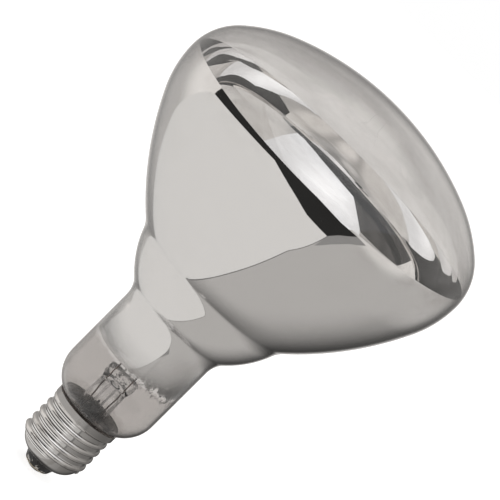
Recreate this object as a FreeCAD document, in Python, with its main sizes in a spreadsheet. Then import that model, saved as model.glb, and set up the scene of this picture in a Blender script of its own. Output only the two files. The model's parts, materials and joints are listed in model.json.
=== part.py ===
import FreeCAD, Part
import math
import os
import Sketcher

# Infrared heat lamp bulb, cap down, front lens up.
# The origin is the tip of the centre contact and Z is the lamp's axis.

# Driving sizes in millimetres and degrees; a share is a plain ratio.
SIZES = {
    # Blown glass envelope, outside faces. A rise is the height of one stretch of the wall.
    "bulb_radius": 62.5,
    "neck_radius": 19.3,
    "neck_length": 27.1,
    "bowl_rise": 77.6,
    "front_rise": 32.7,
    "glass_wall": 0.9,
    "waist_arc": 10.8,
    "shoulder_sink": 0.313,
    "neck_depth": 6.6,
    # Arcs of the bowl, as shares of the straight way from the waist to the belly
    "ring_share": 0.4177,
    "crease_share": 0.1486,
    "bowl_share": 1.3286,
    "belly_share": 0.4335,
    # Leans of the wall beyond that straight way
    "waist_lean": 15.8,
    "bowl_lean": -5.1,
    # Arcs of the shoulder and the front, as shares of the steps that they span
    "shoulder_share": 1.5732,
    "rim_share": 0.6177,
    "edge_share": 1.1724,
    "dome_share": 0.8883,
    # Evaporated mirror on the inside wall
    "mirror_skirt": 13.4,
    "mirror_overlap": 3.9,
    "mirror_film": 0.1,
    # Glass stem: flare tube, pinch, exhaust tube and support rod
    "flare_radius": 5.3,
    "flare_wall": 0.85,
    "flare_rim": 1.2,
    "flare_length": 19.0,
    "pinch_taper": 2.6,
    "pinch_depth": 3.6,
    "pinch_width": 12.6,
    "pinch_thickness": 4.6,
    "pinch_edge": 0.8,
    "exhaust_radius": 2.0,
    "exhaust_wall": 0.6,
    "exhaust_length": 9.5,
    "exhaust_port_radius": 0.9,
    "rod_radius": 1.5,
    "rod_length": 43.8,
    "button_radius": 3.2,
    "button_thickness": 4.0,
    # Wires and filament
    "lead_spread": 3.7,
    "lead_radius": 0.3,
    "lead_bend": 2.5,
    "lead_rise": 7.5,
    "lead_waist": 0.6,
    "lead_cover": 0.2,
    "seal_wire_radius": 0.25,
    "filament_rise": 4.0,
    "filament_ring": 14.0,
    "filament_coil": 0.8,
    "filament_gap_angle": 60.0,
    "hook_wire": 0.22,
    "hook_depth": 1.2,
    "hook_count": 5,
    # Screw cap with a rolled knuckle thread
    "thread_crest": 13.2,
    "thread_depth": 1.1,
    "thread_pitch": 3.629,
    "thread_start": 8.63,
    "thread_turns": 4.8,
    "thread_runout": 2.0,
    "thread_land": 0.12,
    "thread_seat": 0.09,
    "shell_wall": 0.3,
    "shell_foot_arc": 7.0,
    "shell_foot_height": 11.6,
    "shell_foot_turn": 65.0,
    "collar_step": 0.1,
    "collar_length": 2.5,
    "cap_top": 28.6,
    "cement_recess": 0.4,
    "cement_wall": 1.7,
    "insulator_top": 9.0,
    "insulator_ledge": 1.3,
    "insulator_foot": 5.1,
    "contact_radius": 4.75,
    "contact_plate": 0.5,
    "eyelet_radius": 1.1,
    "eyelet_wall": 0.3,
    "eyelet_length": 2.4,
    "solder_height": 1.2,
    "solder_radius": 3.8,
    "solder_flat": 1.6,
    "rim_solder": 1.3,
    # Clearance between a wire and the hole that it passes through
    "fit_gap": 0.02,
    # How far a cutting shape runs past the face that it cuts
    "overshoot": 1.0,
}

doc = FreeCAD.newDocument("heat_lamp_bulb")
sheet = doc.addObject("Spreadsheet::Sheet", "sizes")


class Term:
    """A size that carries its value and the formula which the document keeps for it."""

    def __init__(self, value, text):
        self.value = float(value)
        self.text = text

    def _join(self, sign, other, value):
        return Term(value, "(%s %s %s)" % (self.text, sign, term(other).text))

    def __add__(self, other):
        return self._join("+", other, self.value + term(other).value)

    def __sub__(self, other):
        return self._join("-", other, self.value - term(other).value)

    def __mul__(self, other):
        return self._join("*", other, self.value * term(other).value)

    def __truediv__(self, other):
        return self._join("/", other, self.value / term(other).value)


def term(value):
    """The value as a Term; a plain number becomes its own formula."""
    if isinstance(value, Term):
        return value
    return Term(value, repr(float(value)))


def cosine(turn):
    return Term(math.cos(math.radians(turn.value)), "cos(%s)" % turn.text)


def sine(turn):
    return Term(math.sin(math.radians(turn.value)), "sin(%s)" % turn.text)


def root(square):
    return Term(math.sqrt(square.value), "sqrt(%s)" % square.text)


def fill_sheet():
    """Write each driving size to a cell of its own and name the cell."""
    for row, (name, value) in enumerate(SIZES.items(), start=1):
        sheet.set("A%d" % row, name)
        sheet.set("B%d" % row, str(value))
        sheet.setAlias("B%d" % row, name)
    doc.recompute()


def size(name):
    """A driving size read from the sheet, or one that follows from driving sizes."""
    if name in DERIVED:
        return DERIVED[name]()
    return Term(sheet.get(name), "sizes.%s" % name)


def bowl_slope():
    """How far the wall steps out from the waist to the belly for each millimetre of rise."""
    return (size("bulb_radius") - size("neck_radius")) / size("bowl_rise")


def bowl_way():
    """The straight way up the bowl, from the waist to the belly."""
    slope = bowl_slope()
    return size("bowl_rise") * root(slope * slope + 1)


def wall_lean(name):
    """A lean in degrees: that of the straight way up the bowl and a named one beyond it."""
    slope = bowl_slope()
    turn = math.degrees(math.atan(slope.value)) + size(name).value
    return Term(turn, "(atan(%s) + sizes.%s * 1 deg)" % (slope.text, name))


def shoulder_rise():
    """Height of the shoulder's arc, from the neck end up to the full neck."""
    arc = size("shoulder_arc")
    reach = arc - size("neck_radius") + size("neck_end_radius")
    return root(arc * arc - reach * reach)


# Sizes that follow from the driving ones. Heights are measured from the tip of the contact.
DERIVED = {
    "collar_radius": lambda: size("thread_crest") - size("collar_step"),
    "collar_low": lambda: size("cap_top") - size("collar_length"),
    "neck_end_radius": lambda: size("collar_radius") - size("shell_wall") - size("cement_wall"),
    "neck_end_height": lambda: size("cap_top") - size("neck_depth"),
    "shoulder_arc": lambda: (
        (size("neck_radius") - size("neck_end_radius")) * size("shoulder_share")
    ),
    "shoulder_height": lambda: size("cap_top") - size("shoulder_sink") + shoulder_rise(),
    "waist_height": lambda: size("shoulder_height") + size("neck_length"),
    "belly_height": lambda: size("waist_height") + size("bowl_rise"),
    "front_height": lambda: size("belly_height") + size("front_rise"),
    "waist_turn": lambda: wall_lean("waist_lean"),
    "bowl_turn": lambda: wall_lean("bowl_lean"),
    "ring_arc": lambda: bowl_way() * size("ring_share"),
    "crease_arc": lambda: bowl_way() * size("crease_share"),
    "bowl_arc": lambda: bowl_way() * size("bowl_share"),
    "belly_arc": lambda: bowl_way() * size("belly_share"),
    "rim_arc": lambda: size("front_rise") * size("rim_share"),
    "lens_edge_arc": lambda: (
        root(size("bulb_radius") * size("front_rise")) * size("edge_share")
    ),
    "dome_arc": lambda: (
        size("bulb_radius") * size("bulb_radius") / size("front_rise") * size("dome_share")
    ),
    "mirror_low": lambda: size("waist_height") - size("mirror_skirt"),
    "mirror_high": lambda: size("belly_height") + size("mirror_overlap"),
    "flare_arc": lambda: size("neck_end_radius") - size("flare_radius") - size("flare_rim"),
    "pinch_low": lambda: size("neck_end_height") + size("flare_length"),
    "pinch_base": lambda: size("pinch_low") + size("pinch_taper"),
    "pinch_high": lambda: size("pinch_base") + size("pinch_depth"),
    "exhaust_tip": lambda: size("neck_end_height") - size("exhaust_length"),
    "button_height": lambda: size("pinch_high") + size("rod_length"),
    "filament_height": lambda: size("button_height") + size("filament_rise"),
}


def new_body(name):
    body = doc.addObject("PartDesign::Body", name)
    body.Label = name
    return body


def plane_of(body, role):
    """The origin plane or axis of the body that has this role."""
    return [item for item in body.Origin.OriginFeatures if item.Role == role][0]


def new_sketch(body, name, role="XZ_Plane"):
    sketch = body.newObject("Sketcher::SketchObject", name)
    sketch.AttachmentSupport = [(plane_of(body, role), "")]
    sketch.MapMode = "FlatFace"
    return sketch


def bind(sketch, kind, where, value, label):
    """Add a constraint whose value follows the formula of a Term."""
    index = sketch.addConstraint(Sketcher.Constraint(kind, *where, value.value))
    sketch.renameConstraint(index, label)
    sketch.setExpression("Constraints.%s" % label, value.text)


def place_point(sketch, vertex, x, y, label):
    """Hold a vertex at two distances from the sketch's origin."""
    if x.value == 0:
        sketch.addConstraint(Sketcher.Constraint("PointOnObject", *vertex, -2))
    else:
        bind(sketch, "DistanceX", (-1, 1) + vertex, x, label + "_x")
    if y.value == 0:
        sketch.addConstraint(Sketcher.Constraint("PointOnObject", *vertex, -1))
    else:
        bind(sketch, "DistanceY", (-1, 1) + vertex, y, label + "_y")


def flat(x, y):
    return FreeCAD.Vector(x, y, 0)


def arc_between(start, end, radius, bend):
    """The short arc from start to end; bend is 1 anticlockwise and -1 clockwise.

    Returns the arc and the numbers of its start and end vertices."""
    chord = end - start
    half = chord.Length / 2
    side = flat(-chord.y, chord.x).normalize() * bend
    centre = (start + end) * 0.5 + side * math.sqrt(radius * radius - half * half)
    first, last = (start, end) if bend > 0 else (end, start)
    low = math.atan2(first.y - centre.y, first.x - centre.x)
    high = math.atan2(last.y - centre.y, last.x - centre.x)
    circle = Part.Circle(centre, flat(0, 0) + FreeCAD.Vector(0, 0, 1), radius)
    ends = (1, 2) if bend > 0 else (2, 1)
    return Part.ArcOfCircle(circle, low, high), ends


def draw_outline(sketch, corners):
    """Draw a closed outline through corners, each held by its own two formulas.

    A corner is (x, y), or (x, y, radius, bend) where an arc leads on to the next corner."""
    count = len(corners)
    ends = []
    for number, corner in enumerate(corners):
        following = corners[(number + 1) % count]
        start = flat(term(corner[0]).value, term(corner[1]).value)
        end = flat(term(following[0]).value, term(following[1]).value)
        if len(corner) == 4:
            shape, vertices = arc_between(start, end, term(corner[2]).value, corner[3])
            piece = sketch.addGeometry(shape, False)
            bind(sketch, "Radius", (piece,), term(corner[2]), "radius_%d" % number)
        else:
            piece = sketch.addGeometry(Part.LineSegment(start, end), False)
            vertices = (1, 2)
        ends.append(((piece, vertices[0]), (piece, vertices[1])))
    for number, corner in enumerate(corners):
        before = ends[number - 1][1]
        here = ends[number][0]
        sketch.addConstraint(Sketcher.Constraint("Coincident", *before, *here))
        place_point(sketch, here, term(corner[0]), term(corner[1]), "corner_%d" % number)


def revolve(body, sketch, name):
    turned = body.newObject("PartDesign::Revolution", name)
    turned.Profile = sketch
    turned.ReferenceAxis = (sketch, ["V_Axis"])
    turned.Angle = 360
    doc.recompute()
    return turned


def turned_piece(name, corners):
    """A solid of revolution about the lamp's axis, from its half section."""
    body = new_body(name)
    sketch = new_sketch(body, name + "_section")
    draw_outline(sketch, corners)
    revolve(body, sketch, name + "_turned")
    return body


def shaped_piece(name, shape):
    """A piece whose form is worked out from the sheet by Part's own functions."""
    piece = doc.addObject("Part::Feature", name)
    piece.Label = name
    piece.Shape = shape
    return piece


def outward(turn):
    """The outward normal of a wall that leans out by this many degrees from the axis."""
    return flat(math.cos(math.radians(turn)), -math.sin(math.radians(turn)))


def lean(direction):
    """The lean in degrees of the wall whose outward normal is this direction."""
    return math.degrees(math.atan2(-direction.y, direction.x))


def circles_meet(first, first_radius, second, second_radius):
    """The two points where two circles cross, the one nearer to the axis first."""
    gap = second - first
    along = first_radius ** 2 - second_radius ** 2 + gap.Length ** 2
    along /= 2 * gap.Length
    across = math.sqrt(first_radius ** 2 - along ** 2)
    foot = first + gap * (along / gap.Length)
    side = flat(-gap.y, gap.x).normalize() * across
    return sorted((foot + side, foot - side), key=lambda point: point.x)


def envelope_arcs(inset):
    """The tangent arcs of the blown wall from the cap to the front, set inwards by inset.

    Each is (name, centre, radius, lean at its low end, lean at its high end, hollow)."""
    neck = size("neck_radius").value
    shoulder = flat(neck - size("shoulder_arc").value, size("shoulder_height").value)
    waist = flat(neck + size("waist_arc").value, size("waist_height").value)
    waist_turn = size("waist_turn").value
    reach = size("waist_arc").value + size("ring_arc").value
    ring = waist - outward(waist_turn) * reach
    belly = flat(size("bulb_radius").value - size("belly_arc").value, size("belly_height").value)
    bowl_turn = size("bowl_turn").value
    bowl = belly + outward(bowl_turn) * (size("belly_arc").value - size("bowl_arc").value)
    crease_arc = size("crease_arc").value
    ring_reach = size("ring_arc").value + crease_arc
    bowl_reach = size("bowl_arc").value + crease_arc
    crease = circles_meet(ring, ring_reach, bowl, bowl_reach)[1]
    rim = flat(size("bulb_radius").value - size("rim_arc").value, size("belly_height").value)
    dome = flat(0, size("front_height").value - size("dome_arc").value)
    rim_reach = size("lens_edge_arc").value - size("rim_arc").value
    dome_reach = size("dome_arc").value - size("lens_edge_arc").value
    edge = circles_meet(rim, rim_reach, dome, dome_reach)[0]
    start = size("neck_end_radius").value - inset - shoulder.x
    start_turn = math.degrees(math.acos(start / (size("shoulder_arc").value - inset)))
    ring_turn = lean(crease - ring)
    bowl_start = lean(crease - bowl)
    rim_turn = lean(rim - edge)
    edge_turn = lean(edge - dome)
    return [
        ("shoulder", shoulder, size("shoulder_arc"), start_turn, 0, False),
        ("waist", waist, size("waist_arc"), 0, waist_turn, True),
        ("ring", ring, size("ring_arc"), waist_turn, ring_turn, False),
        ("crease", crease, size("crease_arc"), ring_turn, bowl_start, True),
        ("bowl", bowl, size("bowl_arc"), bowl_start, bowl_turn, False),
        ("belly", belly, size("belly_arc"), bowl_turn, 0, False),
        ("rim", rim, size("rim_arc"), 0, rim_turn, False),
        ("edge", edge, size("lens_edge_arc"), rim_turn, edge_turn, False),
        ("dome", dome, size("dome_arc"), edge_turn, -90, False),
    ]


def draw_wall_line(sketch, inset, side):
    """Draw one face of the blown wall and hold it by radii, tangency and a few heights.

    Returns its vertex at the neck end and its vertex on the axis."""
    joints = {}
    for name, centre, radius, low, high, hollow in envelope_arcs(inset.value):
        reach = radius + inset if hollow else radius - inset
        circle = Part.Circle(centre, FreeCAD.Vector(0, 0, 1), reach.value)
        first, last = (180 - high, 180 - low) if hollow else (-low, -high)
        arc = Part.ArcOfCircle(circle, math.radians(first), math.radians(last))
        piece = sketch.addGeometry(arc, False)
        joints[name] = ((piece, 2), (piece, 1)) if hollow else ((piece, 1), (piece, 2))
        bind(sketch, "Radius", (piece,), reach, "%s_%s_arc" % (side, name))
    neck_x = size("neck_radius").value - inset.value
    low_end = flat(neck_x, size("shoulder_height").value)
    high_end = flat(neck_x, size("waist_height").value)
    neck = sketch.addGeometry(Part.LineSegment(low_end, high_end), False)
    sketch.addConstraint(Sketcher.Constraint("Vertical", neck))
    joints["neck"] = ((neck, 1), (neck, 2))
    order = ["shoulder", "neck", "waist", "ring", "crease", "bowl", "belly", "rim", "edge", "dome"]
    for lower, upper in zip(order, order[1:]):
        touch = Sketcher.Constraint("Tangent", *joints[lower][1], *joints[upper][0])
        sketch.addConstraint(touch)
    hold_wall_line(sketch, inset, side, joints)
    return joints["shoulder"][0], joints["dome"][1]


def hold_wall_line(sketch, inset, side, joints):
    """Place the arcs of one face of the wall by the driving heights and radii."""
    origin = (-1, 1)
    shoulder = (joints["shoulder"][0][0], 3)
    shoulder_x = size("neck_radius") - size("shoulder_arc")
    place_point(sketch, shoulder, shoulder_x, size("shoulder_height"), side + "_shoulder")
    end_x = size("neck_end_radius") - inset
    bind(sketch, "DistanceX", origin + joints["shoulder"][0], end_x, side + "_neck_end")
    waist = (joints["waist"][0][0], 3)
    bind(sketch, "DistanceY", origin + waist, size("waist_height"), side + "_waist")
    waist_reach = size("waist_arc") + inset
    waist_x = size("neck_radius") + size("waist_arc") - waist_reach * cosine(size("waist_turn"))
    bind(sketch, "DistanceX", origin + joints["waist"][1], waist_x, side + "_ring_start")
    belly_x = size("bulb_radius") - size("belly_arc")
    belly = (joints["belly"][0][0], 3)
    place_point(sketch, belly, belly_x, size("belly_height"), side + "_belly")
    bowl_x = belly_x + (size("belly_arc") - inset) * cosine(size("bowl_turn"))
    bind(sketch, "DistanceX", origin + joints["bowl"][1], bowl_x, side + "_bowl_end")
    belly_top = joints["belly"][1]
    bind(sketch, "DistanceY", origin + belly_top, size("belly_height"), side + "_widest")
    sketch.addConstraint(Sketcher.Constraint("PointOnObject", joints["dome"][0][0], 3, -2))
    front = size("front_height") - inset
    place_point(sketch, joints["dome"][1], term(0), front, side + "_front")


def shoulder_foot(inset):
    """Where one face of the wall leaves the straight neck end."""
    shoulder = envelope_arcs(inset)[0]
    return shoulder[1] + outward(shoulder[3]) * (shoulder[2].value - inset)


def draw_blown_wall(sketch, outer_inset, inner_inset):
    """The closed half section between two faces of the wall, with its open neck end."""
    outer_low, outer_top = draw_wall_line(sketch, outer_inset, "outer")
    inner_low, inner_top = draw_wall_line(sketch, inner_inset, "inner")
    foot = size("neck_end_height").value
    outer_x = size("neck_end_radius").value - outer_inset.value
    inner_x = size("neck_end_radius").value - inner_inset.value
    top = size("front_height").value
    lines = [
        (shoulder_foot(outer_inset.value), flat(outer_x, foot)),
        (flat(outer_x, foot), flat(inner_x, foot)),
        (flat(inner_x, foot), shoulder_foot(inner_inset.value)),
        (flat(0, top - inner_inset.value), flat(0, top - outer_inset.value)),
    ]
    ids = [sketch.addGeometry(Part.LineSegment(*line), False) for line in lines]
    corners = [
        (outer_low, (ids[0], 1)),
        ((ids[0], 2), (ids[1], 1)),
        ((ids[1], 2), (ids[2], 1)),
        ((ids[2], 2), inner_low),
        (inner_top, (ids[3], 1)),
        ((ids[3], 2), outer_top),
    ]
    for first, second in corners:
        sketch.addConstraint(Sketcher.Constraint("Coincident", *first, *second))
    sketch.addConstraint(Sketcher.Constraint("Vertical", ids[0]))
    sketch.addConstraint(Sketcher.Constraint("Horizontal", ids[1]))
    sketch.addConstraint(Sketcher.Constraint("Vertical", ids[2]))
    place = (-1, 1, ids[1], 1)
    bind(sketch, "DistanceY", place, size("neck_end_height"), "neck_end_height")


def make_envelope():
    """Bulb, neck and front lens, blown as one shell of even wall."""
    body = new_body("glass_envelope")
    sketch = new_sketch(body, "envelope_section")
    draw_blown_wall(sketch, term(0), size("glass_wall"))
    revolve(body, sketch, "envelope_blown")
    return body


def make_mirror():
    """Metal film on the inside wall, from the neck to just past the widest part."""
    body = new_body("mirror_coating")
    sketch = new_sketch(body, "mirror_section")
    draw_blown_wall(sketch, size("glass_wall"), size("glass_wall") + size("mirror_film"))
    revolve(body, sketch, "mirror_film_turned")
    beyond = size("bulb_radius") + size("rim_arc")
    bands = {
        "neck_clear": (term(0), size("mirror_low")),
        "lens_clear": (size("mirror_high"), size("front_height") + size("rim_arc")),
    }
    for name, (low, high) in bands.items():
        edge = new_sketch(body, name + "_band")
        corners = [(term(0), low), (beyond, low), (beyond, high), (term(0), high)]
        draw_outline(edge, corners)
        groove = body.newObject("PartDesign::Groove", name)
        groove.Profile = edge
        groove.ReferenceAxis = (edge, ["V_Axis"])
        groove.Angle = 360
        doc.recompute()
    return body


def make_stem():
    """Flare tube whose rim is sealed to the neck end, closed at its top by the pinch."""
    body = new_body("stem_flare")
    outer = size("flare_radius")
    bore = outer - size("flare_wall")
    arc = size("flare_arc")
    under_arc = arc + size("flare_wall")
    seat = size("neck_end_height")
    under = seat - size("flare_wall")
    bend_x = outer + arc
    bend_z = seat + arc
    section = new_sketch(body, "flare_section")
    draw_outline(section, [
        (bore, size("pinch_low")),
        (bore, bend_z, under_arc, 1),
        (bend_x, under),
        (size("neck_end_radius"), under),
        (size("neck_end_radius"), seat),
        (bend_x, seat, arc, -1),
        (outer, bend_z),
        (outer, size("pinch_low")),
    ])
    revolve(body, section, "flare_turned")
    add_pinch(body)
    cut_pinch(body)
    return body


def circle_sketch(body, name, radius, x, y, height=None, role="XY_Plane"):
    """A sketch with one circle; height lifts it along the plane's normal."""
    sketch = new_sketch(body, name, role)
    if height is not None:
        sketch.setExpression("AttachmentOffset.Base.z", height.text)
    circle = Part.Circle(flat(x.value, y.value), FreeCAD.Vector(0, 0, 1), radius.value)
    piece = sketch.addGeometry(circle, False)
    bind(sketch, "Radius", (piece,), radius, "radius")
    place_point(sketch, (piece, 3), x, y, "centre")
    return sketch


def slot_sketch(body, name, height):
    """The pinch's cross-section: a flat bar with round ends."""
    sketch = new_sketch(body, name, "XY_Plane")
    sketch.setExpression("AttachmentOffset.Base.z", height.text)
    radius = size("pinch_thickness") / 2
    reach = size("pinch_width") / 2 - radius
    right = Part.Circle(flat(reach.value, 0), FreeCAD.Vector(0, 0, 1), radius.value)
    left = Part.Circle(flat(-reach.value, 0), FreeCAD.Vector(0, 0, 1), radius.value)
    quarter = math.pi / 2
    right_id = sketch.addGeometry(Part.ArcOfCircle(right, -quarter, quarter), False)
    back = Part.LineSegment(flat(reach.value, radius.value), flat(-reach.value, radius.value))
    back_id = sketch.addGeometry(back, False)
    left_id = sketch.addGeometry(Part.ArcOfCircle(left, quarter, 3 * quarter), False)
    front = Part.LineSegment(flat(-reach.value, -radius.value), flat(reach.value, -radius.value))
    front_id = sketch.addGeometry(front, False)
    joints = [
        (right_id, 2, back_id, 1),
        (back_id, 2, left_id, 1),
        (left_id, 2, front_id, 1),
        (front_id, 2, right_id, 1),
    ]
    for joint in joints:
        sketch.addConstraint(Sketcher.Constraint("Tangent", *joint))
    sketch.addConstraint(Sketcher.Constraint("Horizontal", back_id))
    sketch.addConstraint(Sketcher.Constraint("PointOnObject", left_id, 3, -1))
    place_point(sketch, (right_id, 3), reach, term(0), "right")
    bind(sketch, "DistanceX", (left_id, 3, -1, 1), reach, "left")
    bind(sketch, "Radius", (right_id,), radius, "end_radius")
    return sketch


def quartered_circle(body, name, radius, height):
    """The tube's round end as four arcs, one for each edge of the flat bar that it turns into."""
    sketch = new_sketch(body, name, "XY_Plane")
    sketch.setExpression("AttachmentOffset.Base.z", height.text)
    circle = Part.Circle(flat(0, 0), FreeCAD.Vector(0, 0, 1), radius.value)
    for number in range(4):
        start = math.radians(90 * number - 45)
        arc = Part.ArcOfCircle(circle, start, start + math.pi / 2)
        piece = sketch.addGeometry(arc, False)
        sketch.addConstraint(Sketcher.Constraint("Coincident", piece, 3, -1, 1))
        bind(sketch, "Radius", (piece,), radius, "quarter_%d" % number)
    return sketch


def add_pinch(body):
    """The pressed glass: round where it leaves the tube, then a flat bar."""
    foot = quartered_circle(body, "pinch_foot", size("flare_radius"), size("pinch_low"))
    bar = slot_sketch(body, "pinch_bar", size("pinch_base"))
    loft = body.newObject("PartDesign::AdditiveLoft", "pinch_loft")
    loft.Profile = foot
    loft.Sections = [(bar, [""])]
    doc.recompute()
    block = slot_sketch(body, "pinch_block", size("pinch_base"))
    pad = body.newObject("PartDesign::Pad", "pinch_pad")
    pad.Profile = block
    pad.setExpression("Length", (size("pinch_high") - size("pinch_base")).text)
    doc.recompute()
    top = size("pinch_high").value
    rounded = body.newObject("PartDesign::Fillet", "pinch_round")
    rounded.Base = (pad, edges_at_height(pad, top))
    rounded.setExpression("Radius", "sizes.pinch_edge")
    doc.recompute()


def edges_at_height(feature, height):
    """The names of the edges of a feature that lie at one height."""
    names = []
    for number, edge in enumerate(feature.Shape.Edges, start=1):
        box = edge.BoundBox
        if abs(box.ZMin - height) < 1e-4 and abs(box.ZMax - height) < 1e-4:
            names.append("Edge%d" % number)
    return names


def cut_hole(body, sketch, name, length, backwards):
    """Cut a round hole from a sketch and make sure that it takes glass away."""
    before = body.Shape.Volume
    pocket = body.newObject("PartDesign::Pocket", name)
    pocket.Profile = sketch
    pocket.setExpression("Length", length.text)
    pocket.Reversed = backwards
    doc.recompute()
    if not body.Shape.Volume < before:
        raise RuntimeError("%s cuts nothing" % name)


def cut_pinch(body):
    """Two holes for the seal wires, and the exhaust port from the tube's bore to one side."""
    height = size("pinch_high") - size("pinch_low")
    hole = size("seal_wire_radius") + size("fit_gap")
    spread = size("lead_spread")
    for name, x in (("left", term(0) - spread), ("right", spread)):
        seal = circle_sketch(body, "seal_%s" % name, hole, x, term(0), size("pinch_low"))
        cut_hole(body, seal, "seal_hole_%s" % name, height, True)
    port = size("exhaust_port_radius")
    middle = (size("pinch_base") + size("pinch_high")) / 2
    shaft = circle_sketch(body, "port_shaft", port, term(0), term(0), size("pinch_low"))
    cut_hole(body, shaft, "port_rise", middle - size("pinch_low"), True)
    side = circle_sketch(body, "port_side", port, term(0), middle, None, "XZ_Plane")
    cut_hole(body, side, "port_outlet", size("pinch_width"), True)


def make_exhaust_tube():
    """The pumping tube inside the flare, drawn to a closed tip below."""
    radius = size("exhaust_radius")
    bore = radius - size("exhaust_wall")
    tip = size("exhaust_tip")
    wall = size("exhaust_wall")
    return turned_piece("exhaust_tube", [
        (term(0), tip),
        (wall / 2, tip),
        (radius, tip + radius * 2),
        (radius, size("pinch_low")),
        (bore, size("pinch_low")),
        (bore, tip + radius * 2),
        (term(0), tip + radius),
    ])


def make_support_rod():
    """Glass rod on the pinch, its top pressed into a button that holds the hooks."""
    rod = size("rod_radius")
    button = size("button_radius")
    half = size("button_thickness") / 2
    middle = size("button_height")
    body = turned_piece("support_rod", [
        (term(0), size("pinch_high")),
        (rod, size("pinch_high")),
        (rod, middle - half),
        (button - half, middle - half, half, 1),
        (button, middle, half, 1),
        (button - half, middle + half),
        (term(0), middle + half),
    ])
    socket = body.newObject("PartDesign::SubtractiveCylinder", "hook_socket")
    socket.setExpression("Radius", (size("hook_wire") + size("fit_gap")).text)
    socket.setExpression("Height", "sizes.button_radius")
    socket.setExpression("Placement.Base.x", (button - size("hook_depth")).text)
    socket.setExpression("Placement.Base.z", size("button_height").text)
    socket.Placement.Rotation = FreeCAD.Rotation(FreeCAD.Vector(0, 1, 0), 90)
    doc.recompute()
    pattern = body.newObject("PartDesign::PolarPattern", "hook_sockets")
    pattern.Originals = [socket]
    pattern.Axis = (plane_of(body, "Z_Axis"), [""])
    pattern.setExpression("Angle", (hook_step() * (size("hook_count") - 1)).text)
    pattern.Occurrences = int(size("hook_count").value)
    body.Tip = pattern
    doc.recompute()
    first = hook_angle(0).value
    body.Placement.Rotation = FreeCAD.Rotation(FreeCAD.Vector(0, 0, 1), first)
    doc.recompute()
    return body


def hook_step():
    """Degrees from one filament hook to the next."""
    return (term(360) - size("filament_gap_angle")) / (size("hook_count") + 1)


def hook_angle(number):
    """Direction of one hook from +X; the filament's gap faces -Y."""
    return term(-90) + size("filament_gap_angle") / 2 + hook_step() * (number + 1)


def make_filament():
    """The coiled filament as a ring of its outer thickness, open at the front."""
    ring = doc.addObject("Part::Torus", "filament")
    ring.Label = "filament"
    ring.setExpression("Radius1", "sizes.filament_ring")
    ring.setExpression("Radius2", "sizes.filament_coil")
    ring.setExpression("Angle3", (term(360) - size("filament_gap_angle")).text)
    ring.setExpression("Placement.Base.z", size("filament_height").text)
    start = -90 + size("filament_gap_angle").value / 2
    ring.Placement.Rotation = FreeCAD.Rotation(FreeCAD.Vector(0, 0, 1), start)
    doc.recompute()


def straight_rod(start, end, radius):
    line = end - start
    return Part.makeCylinder(radius, line.Length, start, line)


def make_hook(number):
    """A wire from the button out to an eye that the filament passes through."""
    wire = size("hook_wire").value
    eye = size("filament_coil").value + size("fit_gap").value + wire
    ring = size("filament_ring").value
    root_x = size("button_radius").value - size("hook_depth").value
    start = FreeCAD.Vector(root_x, 0, size("button_height").value)
    knee = FreeCAD.Vector(size("button_radius").value + eye, 0, size("button_height").value)
    end = FreeCAD.Vector(ring - eye, 0, size("filament_height").value)
    shape = Part.makeTorus(eye, wire, FreeCAD.Vector(ring, 0, end.z), FreeCAD.Vector(0, 1, 0))
    shape = shape.fuse([
        straight_rod(start, knee, wire),
        Part.makeSphere(wire, knee),
        straight_rod(knee, end, wire),
    ])
    shape.rotate(FreeCAD.Vector(0, 0, 0), FreeCAD.Vector(0, 0, 1), hook_angle(number).value)
    shaped_piece("filament_hook_%d" % (number + 1), shape)


def bent_wire(points, bend, radius):
    """A round wire along straight runs that are joined by tangent arcs."""
    edges = []
    here = points[0]
    for corner, following in zip(points[1:], points[2:]):
        back = (here - corner).normalize()
        ahead = (following - corner).normalize()
        half_turn = (math.pi - back.getAngle(ahead)) / 2
        trim = bend * math.tan(half_turn)
        enter = corner + back * trim
        leave = corner + ahead * trim
        inward = (back + ahead).normalize()
        middle = corner + inward * (bend / math.cos(half_turn) - bend)
        edges.append(Part.LineSegment(here, enter).toShape())
        edges.append(Part.Arc(enter, middle, leave).toShape())
        here = leave
    edges.append(Part.LineSegment(here, points[-1]).toShape())
    start = (points[1] - points[0]).normalize()
    section = Part.Wire([Part.makeCircle(radius, points[0], start)])
    return Part.Wire(edges).makePipeShell([section], True, True)


def make_inner_lead(name, side):
    """From the top of the pinch up and out to one end of the filament."""
    spread = side * size("lead_spread").value
    ring = size("filament_ring").value
    half_gap = math.radians(size("filament_gap_angle").value / 2)
    end_x = side * ring * math.sin(half_gap)
    end_y = -ring * math.cos(half_gap)
    low = size("pinch_high").value
    under_coil = size("filament_height").value - size("filament_coil").value
    bend = size("lead_bend").value
    rise = size("lead_rise").value
    points = [
        FreeCAD.Vector(spread, 0, low),
        FreeCAD.Vector(spread, 0, low + rise),
        FreeCAD.Vector(end_x, end_y, under_coil - rise),
        FreeCAD.Vector(end_x, end_y, under_coil - size("fit_gap").value),
    ]
    shaped_piece(name, bent_wire(points, bend, size("lead_radius").value))


def make_seal_wire(name, side):
    """The short wire that passes through the pinched glass."""
    wire = doc.addObject("Part::Cylinder", name)
    wire.Label = name
    wire.setExpression("Radius", "sizes.seal_wire_radius")
    wire.setExpression("Height", (size("pinch_high") - size("pinch_low")).text)
    wire.setExpression("Placement.Base.x", (size("lead_spread") * side).text)
    wire.setExpression("Placement.Base.z", size("pinch_low").text)


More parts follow.
